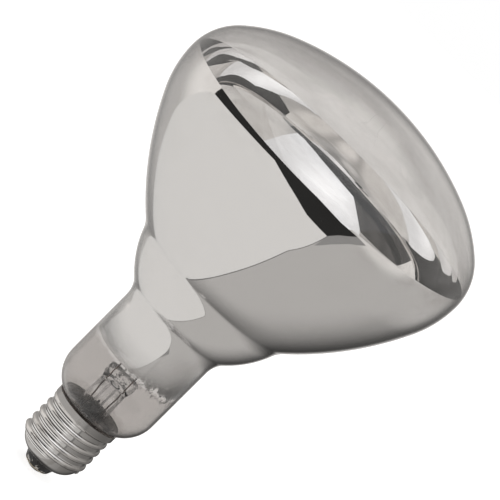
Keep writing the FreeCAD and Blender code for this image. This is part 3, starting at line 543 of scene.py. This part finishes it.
def film_cover(nodes, coords, across, height):
    """Where the film covers the glass: a clean edge on one side, flaked on the other."""
    flaked = nodes.ramp(across, *FLAKED_SIDE)
    flakes = nodes.drift(coords, scale=420.0, detail=6.0, roughness=0.75, reach=FLAKED_WAVER)
    rough = nodes.math("SUBTRACT", flakes, FLAKED_LIFT)
    clean = nodes.drift(coords, scale=90.0, detail=2.0, roughness=0.5, reach=CLEAN_WAVER)
    edge = nodes.math("ADD", height, nodes.mix_values(flaked, clean, rough))
    sharp = nodes.ramp(edge, *CLEAN_EDGE)
    faded = nodes.ramp(edge, *FLAKED_EDGE)
    return nodes.mix_values(flaked, sharp, faded)


def line_mask(nodes, value, limits, softness):
    """Mask of a line where a value lies between two limits."""
    low, high = limits
    rising = nodes.ramp(value, low - softness, low + softness)
    falling = nodes.ramp(value, high - softness, high + softness, 1.0, 0.0)
    return nodes.math("MULTIPLY", rising, falling)


def painted_light_lines(nodes, across, along, height):
    """Masks of the painted highlight lines and the painted dark reflection lines along the thread.
    """
    turn = nodes.math("DIVIDE", nodes.math("ARCTAN2", along, across), 2 * math.pi)
    rise = nodes.math("DIVIDE", nodes.math("SUBTRACT", height, THREAD_START), THREAD_PITCH)
    row = nodes.math("FRACT", nodes.math("SUBTRACT", rise, turn))
    threaded = line_mask(nodes, height, (THREAD_LOW, COLLAR_LOW), THREAD_SOFTNESS)
    masks = []
    for lines, side in ((PAINTED_HIGHLIGHT_LINES, HIGHLIGHT_SIDE), (PAINTED_DARK_LINES, DARK_LINE_SIDE)):
        first, second = [line_mask(nodes, row, limits, LINE_SOFTNESS) for limits in lines]
        where = nodes.math("MULTIPLY", line_mask(nodes, across, side, SIDE_SOFTNESS), threaded)
        masks.append(nodes.math("MULTIPLY", nodes.math("MAXIMUM", first, second), where))
    return masks


def plated_finish(marks):
    """Nickel plating: satin collar, bright crests, painted highlight lines and painted dark
    reflection lines in the grooves, and painted shade on one side.
    """
    material, nodes, shader = new_material("nickel_cap")
    shader.inputs["Metallic"].default_value = 1.0
    coords = nodes.place()
    across, along, height = nodes.split(coords)
    crest = nodes.ramp(nodes.from_axis(across, along), *GROOVE_TO_CREST)
    # Masks of the painted highlight lines and the painted dark reflection lines on the thread
    bright, dark = painted_light_lines(nodes, across, along, height)
    satin = nodes.ramp(height, COLLAR_LOW, COLLAR_LOW + THREAD_SOFTNESS)
    mark = place_group(nodes, marks, smear_size=160.0, speck_size=1500.0, amount=0.8)
    # Painted shade: the cap is darkened towards one side
    shaded_side = nodes.math("MULTIPLY", nodes.ramp(across, *SHADED_SIDE), SIDE_SHADE)
    colour = nodes.blend(crest, NICKEL_GROOVE, NICKEL_CREST)
    for mask, tone in (
        (dark, NICKEL_PAINTED_DARK),
        (satin, NICKEL_COLLAR),
        (mark.outputs["Smears"], NICKEL_SMEARED),
        (shaded_side, NICKEL_PAINTED_SHADE),
        (bright, NICKEL_PAINTED_HIGHLIGHT),
    ):
        colour = nodes.blend(mask, colour, tone)
    nodes.join(colour, shader.inputs["Base Color"])
    rough = smeared_roughness(nodes, mark, clean=0.065, gain=0.12)
    rough = nodes.math("ADD", rough, nodes.math("MULTIPLY", satin, SATIN_ROUGHNESS))
    # The painted highlight lines are made mirror-smooth
    rough = nodes.math("MULTIPLY", rough, nodes.math("SUBTRACT", 1.0, bright))
    nodes.join(rough, shader.inputs["Roughness"])
    scratch = nodes.noise(coords, scale=900.0, detail=2.0)
    bump(nodes, nodes.math("MULTIPLY", scratch, SCRATCH_DEPTH), shader)
    return material


def metal_finish(name, marks, colour, dull, rough):
    """Plain metal that is duller where it is smeared, with a fine grain."""
    material, nodes, shader = new_material(name)
    shader.inputs["Metallic"].default_value = 1.0
    mark = place_group(nodes, marks, smear_size=300.0, speck_size=2500.0, amount=0.9)
    nodes.join(nodes.blend(mark.outputs["Smears"], colour, dull), shader.inputs["Base Color"])
    spread = smeared_roughness(nodes, mark, clean=rough, gain=rough / 2)
    nodes.join(spread, shader.inputs["Roughness"])
    grain = nodes.noise(nodes.place(), scale=1500.0, detail=3.0)
    bump(nodes, nodes.math("MULTIPLY", grain, METAL_GRAIN_DEPTH), shader)
    return material


def dark_glass_finish(marks):
    """Black pressed glass of the insulator, with solder splashes beside the contact."""
    material, nodes, shader = new_material("black_insulator")
    coords = nodes.place()
    _, _, height = nodes.split(coords)
    mark = place_group(nodes, marks, smear_size=250.0, speck_size=1800.0, amount=0.9)
    dark = nodes.blend(mark.outputs["Specks"], BLACK_GLASS, BLACK_GLASS_SPECK)
    lumps = nodes.noise(coords, scale=520.0, detail=4.0, roughness=0.6)
    low = nodes.ramp(height, *SPLASH_HEIGHTS, *SPLASH_GAIN)
    splash = nodes.ramp(nodes.math("ADD", lumps, low), *SPLASH_LEVELS)
    nodes.join(nodes.blend(splash, dark, SOLDER_SPLASH), shader.inputs["Base Color"])
    nodes.join(splash, shader.inputs["Metallic"])
    rough = smeared_roughness(nodes, mark, clean=0.12, gain=0.25)
    nodes.join(rough, shader.inputs["Roughness"])
    raised = nodes.math("MULTIPLY", nodes.ramp(lumps, *LUMP_LEVELS), LUMP_DEPTH)
    bump(nodes, raised, shader)
    return material


def cement_finish():
    """Rough grey-brown cement between the cap and the glass."""
    material, nodes, shader = new_material("cement")
    grain = nodes.noise(nodes.place(), scale=1400.0, detail=6.0, roughness=0.7)
    colour = nodes.blend(nodes.ramp(grain, *CEMENT_LEVELS), CEMENT_DARK, CEMENT_PALE)
    nodes.join(colour, shader.inputs["Base Color"])
    shader.inputs["Roughness"].default_value = 0.85
    bump(nodes, nodes.math("MULTIPLY", grain, CEMENT_DEPTH), shader)
    return material


def make_finishes():
    """Every finish of the lamp, by the record's material slot."""
    marks = handling_marks_group()
    waves = blown_unevenness_group()
    haze = glass_haze_group()
    made = {
        "clear_glass": glass_finish("clear_glass", marks, waves, haze, BULB_CLEARNESS,
                                    BULB_WAVES, bending=1.5),
        "stem_glass": glass_finish("stem_glass", marks, waves, haze, STEM_CLEARNESS,
                                   STEM_WAVES, bending=1.3),
        "mirror_film": mirror_finish(marks, waves),
        "nickel_cap": plated_finish(marks),
        "black_insulator": dark_glass_finish(marks),
        "cement": cement_finish(),
    }
    for name, look in METALS.items():
        made[name] = metal_finish(name, marks, *look)
    return made


# Outline of the blown wall: tangent arcs from the neck end to the front

def outward(turn):
    """Outward normal of a wall that leans out by this many degrees from the axis."""
    return Vector((math.cos(math.radians(turn)), -math.sin(math.radians(turn))))


def lean(direction):
    """How many degrees a wall leans out from the axis, from its outward normal."""
    return math.degrees(math.atan2(-direction.y, direction.x))


def circles_meet(first, first_radius, second, second_radius):
    """The outer one of the two points where two circles cross."""
    gap = second - first
    along = (first_radius ** 2 - second_radius ** 2 + gap.length_squared) / (2 * gap.length)
    across = math.sqrt(first_radius ** 2 - along ** 2)
    foot = first + gap * (along / gap.length)
    side = Vector((-gap.y, gap.x)).normalized() * across
    return foot + side if (foot + side).x > (foot - side).x else foot - side


def wall_arcs(inset):
    """Each arc as centre, radius, lean at its low end, lean at its high end and hollow."""
    shoulder = Vector((NECK_RADIUS - SHOULDER_ARC, SHOULDER_HEIGHT))
    waist = Vector((NECK_RADIUS + WAIST_ARC, WAIST_HEIGHT))
    ring = waist - outward(WAIST_TURN) * (WAIST_ARC + RING_ARC)
    belly = Vector((BULB_RADIUS - BELLY_ARC, BELLY_HEIGHT))
    bowl = belly + outward(BOWL_TURN) * (BELLY_ARC - BOWL_ARC)
    crease = circles_meet(ring, RING_ARC + CREASE_ARC, bowl, BOWL_ARC + CREASE_ARC)
    rim = Vector((BULB_RADIUS - RIM_ARC, BELLY_HEIGHT))
    edge = rim + outward(-RIM_TURN) * (RIM_ARC - LENS_EDGE_ARC)
    rise = FRONT_HEIGHT - edge.y
    dome_arc = (edge.x ** 2 + rise ** 2 - LENS_EDGE_ARC ** 2) / (2 * (rise - LENS_EDGE_ARC))
    dome = Vector((0, FRONT_HEIGHT - dome_arc))
    start = (NECK_END_RADIUS - inset - shoulder.x) / (SHOULDER_ARC - inset)
    ring_turn, bowl_start, edge_turn = lean(crease - ring), lean(crease - bowl), lean(edge - dome)
    return [
        (shoulder, SHOULDER_ARC, math.degrees(math.acos(start)), 0, False),
        (waist, WAIST_ARC, 0, WAIST_TURN, True),
        (ring, RING_ARC, WAIST_TURN, ring_turn, False),
        (crease, CREASE_ARC, ring_turn, bowl_start, True),
        (bowl, BOWL_ARC, bowl_start, BOWL_TURN, False),
        (belly, BELLY_ARC, BOWL_TURN, 0, False),
        (rim, RIM_ARC, 0, -RIM_TURN, False),
        (edge, LENS_EDGE_ARC, -RIM_TURN, edge_turn, False),
        (dome, dome_arc, edge_turn, -90, False),
    ]


def wall_line(inset, low=None, high=None):
    """Points up one face of the wall, in millimetres, between two heights if they are given."""
    points = [Vector((NECK_END_RADIUS - inset, NECK_END_HEIGHT))]
    for centre, radius, first, last, hollow in wall_arcs(inset):
        reach = radius + inset if hollow else radius - inset
        steps = max(3, math.ceil(abs(math.radians(last - first)) * reach / WALL_STEP))
        for step in range(steps + 1):
            normal = outward(first + (last - first) * step / steps)
            point = centre - normal * reach if hollow else centre + normal * reach
            if (point - points[-1]).length > WALL_STEP / 10:
                points.append(point)
    points[-1].x = 0.0
    if low is None:
        return points
    kept = []
    for lower, upper in zip(points, points[1:]):
        for level in (low, high):
            if lower.y < level < upper.y:
                kept.append(lower.lerp(upper, (level - lower.y) / (upper.y - lower.y)))
        if low < upper.y < high:
            kept.append(upper)
    return sorted(kept, key=lambda point: point.y)


# Pieces that take the place of CAD nodes

def add_piece(name, mesh, material):
    piece = add_object(name, mesh)
    mesh.materials.append(material)
    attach(piece, BODY)
    return piece


def turned_mesh(name, outline):
    """A closed outline in millimetres turned round the axis; points on the axis stay single."""
    shape = bmesh.new()
    rings = []
    for point in outline:
        if point.x < ON_AXIS:
            rings.append([shape.verts.new((0, 0, point.y * MM))] * TURN_STEPS)
            continue
        ring = []
        for step in range(TURN_STEPS):
            turn = 2 * math.pi * step / TURN_STEPS
            place = (point.x * math.cos(turn), point.x * math.sin(turn), point.y)
            ring.append(shape.verts.new(Vector(place) * MM))
        rings.append(ring)
    for lower, upper in zip(rings, rings[1:] + rings[:1]):
        for step in range(TURN_STEPS):
            following = (step + 1) % TURN_STEPS
            corners = [lower[step], lower[following], upper[following], upper[step]]
            unique = list(dict.fromkeys(corners))
            if len(unique) > 2:
                shape.faces.new(unique)
    bmesh.ops.recalc_face_normals(shape, faces=shape.faces)
    mesh = mesh_of(name, shape)
    mesh.shade_smooth()
    return mesh


def add_envelope(material):
    """The blown glass as one closed wall, from the neck end over the lens."""
    outline = wall_line(HAIR) + list(reversed(wall_line(GLASS_WALL)))
    piece = add_piece("blown_envelope", turned_mesh("blown_envelope", outline), material)
    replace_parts(piece, "glass_envelope")


def add_mirror(material):
    """The film on the inside of the glass, from the neck up to the rim."""
    outer = wall_line(GLASS_WALL + FILM_GAP, MIRROR_LOW, MIRROR_HIGH)
    inner = wall_line(GLASS_WALL + FILM_GAP + FILM_THICKNESS, MIRROR_LOW, MIRROR_HIGH)
    mesh = turned_mesh("silvering", outer + list(reversed(inner)))
    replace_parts(add_piece("silvering", mesh, material), "mirror_coating")


def bar_reach(turn):
    """Distance from the axis to the face of the pinched bar, in one direction."""
    radius = PINCH_THICKNESS / 2
    reach = PINCH_WIDTH / 2 - radius
    across, along = abs(math.cos(turn)), abs(math.sin(turn))
    if along * reach > radius * across:
        return radius / along
    return reach * across + math.sqrt(radius ** 2 - (reach * along) ** 2)


def stem_ring(height, radius, pinch=0.0, melt=0.0, share=1.0):
    """One ring of the stem: round, or pinched flat, with lumps where the glass was melted."""
    ring = []
    for step in range(STEM_STEPS):
        turn = 2 * math.pi * step / STEM_STEPS
        reach = (radius + (bar_reach(turn) - radius) * pinch) * share
        place = Vector((reach * math.cos(turn), reach * math.sin(turn), height))
        fine = FINE_SHARE * noise.noise(place * FINE_LUMPS)
        lump = noise.noise(place * COARSE_LUMPS) + fine
        swelling = 1 + melt * lump / max(reach, 1.0)
        place.x *= swelling
        place.y *= swelling
        place.z -= melt * abs(lump) * share * pinch * LUMP_SINK
        ring.append(place)
    return ring


def tube_ring(share, inset=0.0):
    """A ring of the tube, this share of the way from the flare to the pinch."""
    height = FLARE_TOP + (PINCH_LOW - FLARE_TOP) * share
    reach = TUBE_LOW_RADIUS + (TUBE_HIGH_RADIUS - TUBE_LOW_RADIUS) * share
    return stem_ring(height, reach - inset)


def flare_ring(share, inset=0.0):
    """A ring of the flare, this share of the way round its bend from the tube to its rim."""
    turn = math.radians(90 * share)
    height = FLARE_TOP - (FLARE_TOP - STEM_SEAT) * math.sin(turn)
    reach = TUBE_LOW_RADIUS + (STEM_RIM_RADIUS - TUBE_LOW_RADIUS) * (1 - math.cos(turn))
    return stem_ring(height - inset * math.sin(turn), reach - inset * math.cos(turn))


def stem_rings():
    """Rings from the top of the tube's bore, down, round the flare's rim and up to the pinch."""
    bend = [step / FLARE_RINGS for step in range(FLARE_RINGS + 1)]
    rise = [step / PINCH_RINGS for step in range(1, PINCH_RINGS + 1)]
    rings = [tube_ring(share, STEM_WALL) for share in BORE_SHARES]
    rings += [flare_ring(share, STEM_WALL) for share in bend]
    rings += [flare_ring(share) for share in reversed(bend)]
    rings += [tube_ring(step / TUBE_RINGS) for step in range(1, TUBE_RINGS + 1)]
    for share in rise:
        height = PINCH_LOW + (PINCH_BASE - PINCH_LOW) * share
        rings.append(stem_ring(height, TUBE_HIGH_RADIUS, share, MELT_DEPTH * MELT_START * share))
    for share in rise:
        height = PINCH_BASE + (PINCH_TOP - PINCH_BASE - CROWN_HEIGHT) * share
        melt = MELT_DEPTH * (MELT_START + (1 - MELT_START) * share)
        rings.append(stem_ring(height, TUBE_HIGH_RADIUS, 1.0, melt))
    for share, drop in CROWN_RINGS:
        melt = MELT_DEPTH * min(1.0, max(0.0, share - CALM_SHARE) * 2)
        rings.append(stem_ring(PINCH_TOP - drop, TUBE_HIGH_RADIUS, 1.0, melt, share))
    return rings


def add_stem(material):
    """The stem as it was melted: a lumpy pinch on a slightly conical tube."""
    shape = bmesh.new()
    rows = [[shape.verts.new(place * MM) for place in ring] for ring in stem_rings()]
    for lower, upper in zip(rows, rows[1:]):
        for step in range(STEM_STEPS):
            following = (step + 1) % STEM_STEPS
            shape.faces.new((lower[step], lower[following], upper[following], upper[step]))
    for row, height in ((rows[0], PINCH_LOW), (rows[-1], PINCH_TOP)):
        hub = shape.verts.new((0, 0, height * MM))
        for step in range(STEM_STEPS):
            shape.faces.new((row[step], row[(step + 1) % STEM_STEPS], hub))
    bmesh.ops.recalc_face_normals(shape, faces=shape.faces)
    mesh = mesh_of("melted_stem", shape)
    mesh.shade_smooth()
    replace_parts(add_piece("melted_stem", mesh, material), "stem_flare")


def add_filament(material):
    """The coiled tungsten wire in its open ring, turn by turn."""
    low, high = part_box("filament")
    middle = (low.z + high.z) / 2
    coil = (high.z - low.z) / 2
    ring = high.x - coil
    winding = coil - FILAMENT_WIRE
    steps = FILAMENT_TURNS * TURN_POINTS
    curve = bpy.data.curves.new("filament_coil", "CURVE")
    curve.dimensions = "3D"
    curve.bevel_depth = FILAMENT_WIRE
    curve.bevel_resolution = 1
    spline = curve.splines.new("POLY")
    spline.points.add(steps)
    for step in range(steps + 1):
        share = step / steps
        around = -math.pi / 2 + FILAMENT_GAP / 2 + (2 * math.pi - FILAMENT_GAP) * share
        twist = 2 * math.pi * FILAMENT_TURNS * share
        reach = ring + winding * math.cos(twist)
        height = middle + winding * math.sin(twist)
        spline.points[step].co = (reach * math.cos(around), reach * math.sin(around), height, 1)
    shaped = add_object("filament_curve", curve)
    bpy.context.view_layer.update()
    graph = bpy.context.evaluated_depsgraph_get()
    mesh = bpy.data.meshes.new_from_object(shaped.evaluated_get(graph))
    bpy.data.objects.remove(shaped)
    mesh.shade_smooth()
    mesh.materials.clear()
    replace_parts(add_piece("filament_coil", mesh, material), "filament")


def dress_nodes(finishes):
    """Give the CAD pieces that keep their shape their finishes, by material slot."""
    slots = {row["node"]: row["material_slot"] for row in frame["record"]["subparts"]}
    for name, piece in frame["nodes"].items():
        piece.data.materials.clear()
        piece.data.materials.append(finishes[slots[name]])


# Studio: distances from the lamp in metres, how finely a sheet is divided, tints of the light
PANEL_REACH = 1.3
FRAME_REACH = 1.31
EDGE_REACH = 1.32
TENT_REACH = 2.4
PANEL_CUTS = 7
TENT_WARMTH = Vector((1.03, 1.0, 0.968))
PANEL_WARMTH = Vector((1.02, 1.0, 0.975))
WHITE_WARMTH = Vector((0.995, 1.0, 1.015))

# Soft patches of the tent: degrees from the camera, clock angle, brightness, core and fade
TENT_GREY = 0.455
TENT_PATCHES = [
    (100, 133, 0.79, 12, 45),
    (160, 55, 0.30, 6, 28),
    (95, 86, 0.83, 10, 29),
    (114, 46, 0.87, 6, 21),
    (145, 19, 0.72, 6, 20),
    (95, 355, 0.75, 22, 38),
    (62, 333, 0.68, 18, 34),
    (160, 262, 0.055, 2, 58),
    (126, 312, 0.47, 8, 26),
    (166, 170, 0.38, 3, 24),
    (138, 160, 0.49, 7, 22),
    (130, 228, 0.06, 6, 26),
    (180, 0, 0.70, 10, 22),
]

# Corners of the light sheets and dark cards: degrees from the camera and clock angle. The low
# softbox meets the camera card on one side and its own frame along its foot.
CARD_SIDE = [(90, 139.7), (63, 141.3), (27.8, 148), (21.6, 197.6), (29.3, 243.4), (39.6, 268)]
FOOT_SIDE = [(70.4, 239.3), (94.2, 226), (118.5, 212.6), (138, 200)]
SOFTBOX_LOW = CARD_SIDE + FOOT_SIDE + [(144, 185), (140, 171), (130, 161.3), (114.9, 152)]
SOFTBOX_FRAME = CARD_SIDE[-1:] + FOOT_SIDE + [(110, 180), (70, 180), (35, 215)]
SOFTBOX_HIGH = [
    (51, 99.3), (23.7, 120.8), (32, 310.7), (50.7, 350), (72, 0), (82, 45), (72, 90),
]
SOFTBOX_GLARE = [(28, 65, 1.25, 4, 34)]
CAMERA_CARD = CARD_SIDE + [
    (39.3, 315), (32, 310.7), (23.7, 120.8), (51, 99.3), (83.7, 114.6),
]
CARD_EDGE = [(39.6, 268), (39.3, 315), (47.4, 313.6), (45.8, 270), (52, 255)]

# Floor: half of its width and its depth below the lamp in metres, its grey and its own glow
FLOOR_REACH = 1.8
FLOOR_DROP = 0.0002
FLOOR_GREY = (0.8, 0.8, 0.8, 1)
FLOOR_GLOW = 0.72


def glow_material(name, brightness=None):
    """A plain glow of one brightness, or one that follows the mesh's painted shade."""
    material = bpy.data.materials.new(name)
    material.use_nodes = True
    nodes = Nodes(material.node_tree)
    nodes.tree.nodes.clear()
    glow = nodes.add("ShaderNodeEmission")
    if brightness is None:
        shade = nodes.add("ShaderNodeAttribute", attribute_name="shade")
        nodes.join(shade.outputs["Color"], glow.inputs["Color"])
    else:
        glow.inputs["Color"].default_value = tuple(PANEL_WARMTH * brightness) + (1,)
    output = nodes.add("ShaderNodeOutputMaterial")
    nodes.join(glow.outputs["Emission"], output.inputs["Surface"])
    return material


def add_stage(name, mesh, material):
    """A part of the studio that the lamp mirrors and the camera doesn't see."""
    piece = add_object(name, mesh)
    mesh.materials.append(material)
    piece.visible_camera = False


def patched(direction, shade, patches):
    """Brightness in one direction, after each soft patch has been laid over the last."""
    for away, clock, brightness, core, fade in patches:
        apart = math.degrees(direction.angle(seen_towards(away, clock)))
        share = min(1.0, max(0.0, (apart - core) / (fade - core)))
        share = share * share * (3 - 2 * share)
        shade = brightness + (shade - brightness) * share
    return shade


def shade_by_patches(mesh, warmth, brightness, patches):
    """Colour each point of a mesh round the lamp by its direction, for glow_material."""
    shade = mesh.color_attributes.new("shade", "FLOAT_COLOR", "POINT")
    for vertex in mesh.vertices:
        value = warmth * patched(vertex.co - LAMP_CENTRE, brightness, patches)
        shade.data[vertex.index].color = tuple(value) + (1,)


def add_panel(name, corners, brightness, reach=PANEL_REACH, margin=0.0, patches=()):
    """A curved sheet round the lamp, with straight edges as seen from it, and a margin."""
    directions = [seen_towards(*corner) for corner in corners]
    middle = sum(directions, Vector()).normalized()
    directions = [(one + (one - middle) * margin).normalized() for one in directions]
    shape = bmesh.new()
    hub = shape.verts.new(middle)
    ring = [shape.verts.new(direction) for direction in directions]
    for first, second in zip(ring, ring[1:] + ring[:1]):
        shape.faces.new((hub, first, second))
    bmesh.ops.subdivide_edges(shape, edges=shape.edges, cuts=PANEL_CUTS, use_grid_fill=True)
    for vertex in shape.verts:
        vertex.co = LAMP_CENTRE + vertex.co.normalized() * reach
    mesh = mesh_of(name, shape)
    if patches:
        shade_by_patches(mesh, WHITE_WARMTH, brightness, patches)
        add_stage(name, mesh, glow_material(name))
    else:
        add_stage(name, mesh, glow_material(name, brightness))


def add_tent():
    """The grey tent round the whole studio."""
    shape = bmesh.new()
    bmesh.ops.create_uvsphere(shape, u_segments=96, v_segments=48, radius=1.0)
    mesh = mesh_of("studio_tent", shape)
    for vertex in mesh.vertices:
        vertex.co = LAMP_CENTRE + vertex.co * TENT_REACH
    shade_by_patches(mesh, TENT_WARMTH, TENT_GREY, TENT_PATCHES)
    material = glow_material("studio_tent")
    material.cycles.emission_sampling = "NONE"
    add_stage("studio_tent", mesh, material)


def add_floor():
    """A pale floor that the camera sees white, darkened only by the lamp's shadow."""
    shape = bmesh.new()
    bmesh.ops.create_grid(shape, x_segments=1, y_segments=1, size=FLOOR_REACH)
    mesh = mesh_of("floor", shape)
    material = bpy.data.materials.new("pale_floor")
    material.use_nodes = True
    nodes = Nodes(material.node_tree)
    nodes.tree.nodes.clear()
    matt = nodes.add("ShaderNodeBsdfDiffuse")
    matt.inputs["Color"].default_value = FLOOR_GREY
    glow = nodes.add("ShaderNodeEmission")
    glow.inputs["Strength"].default_value = FLOOR_GLOW
    lit = nodes.add("ShaderNodeAddShader")
    nodes.join(matt.outputs["BSDF"], lit.inputs[0])
    nodes.join(glow.outputs["Emission"], lit.inputs[1])
    clear = nodes.add("ShaderNodeBsdfTransparent")
    path = nodes.add("ShaderNodeLightPath")
    seen = nodes.add("ShaderNodeMixShader")
    nodes.join(path.outputs["Is Camera Ray"], seen.inputs["Fac"])
    nodes.join(clear.outputs["BSDF"], seen.inputs[1])
    nodes.join(lit.outputs["Shader"], seen.inputs[2])
    output = nodes.add("ShaderNodeOutputMaterial")
    nodes.join(seen.outputs["Shader"], output.inputs["Surface"])
    floor = add_object("floor", mesh)
    mesh.materials.append(material)
    floor.location.z = -FLOOR_DROP


def add_studio():
    add_tent()
    add_floor()
    add_panel("softbox_low", SOFTBOX_LOW, brightness=0.685)
    add_panel("softbox_frame", SOFTBOX_FRAME, brightness=0.13, reach=FRAME_REACH, margin=0.025)
    add_panel("softbox_high", SOFTBOX_HIGH, brightness=0.88, patches=SOFTBOX_GLARE)
    add_panel("camera_card", CAMERA_CARD, brightness=0.025)
    add_panel("card_edge", CARD_EDGE, brightness=0.27, reach=EDGE_REACH)
    world = bpy.data.worlds.new("white")
    world.use_nodes = True
    world.node_tree.nodes["Background"].inputs["Color"].default_value = (1, 1, 1, 1)
    bpy.context.scene.world = world
    bpy.context.scene.view_settings.view_transform = "Standard"


add_camera()
finishes = make_finishes()
dress_nodes(finishes)
add_envelope(finishes["clear_glass"])
add_mirror(finishes["mirror_film"])
add_stem(finishes["stem_glass"])
add_filament(finishes["tungsten"])
add_studio()
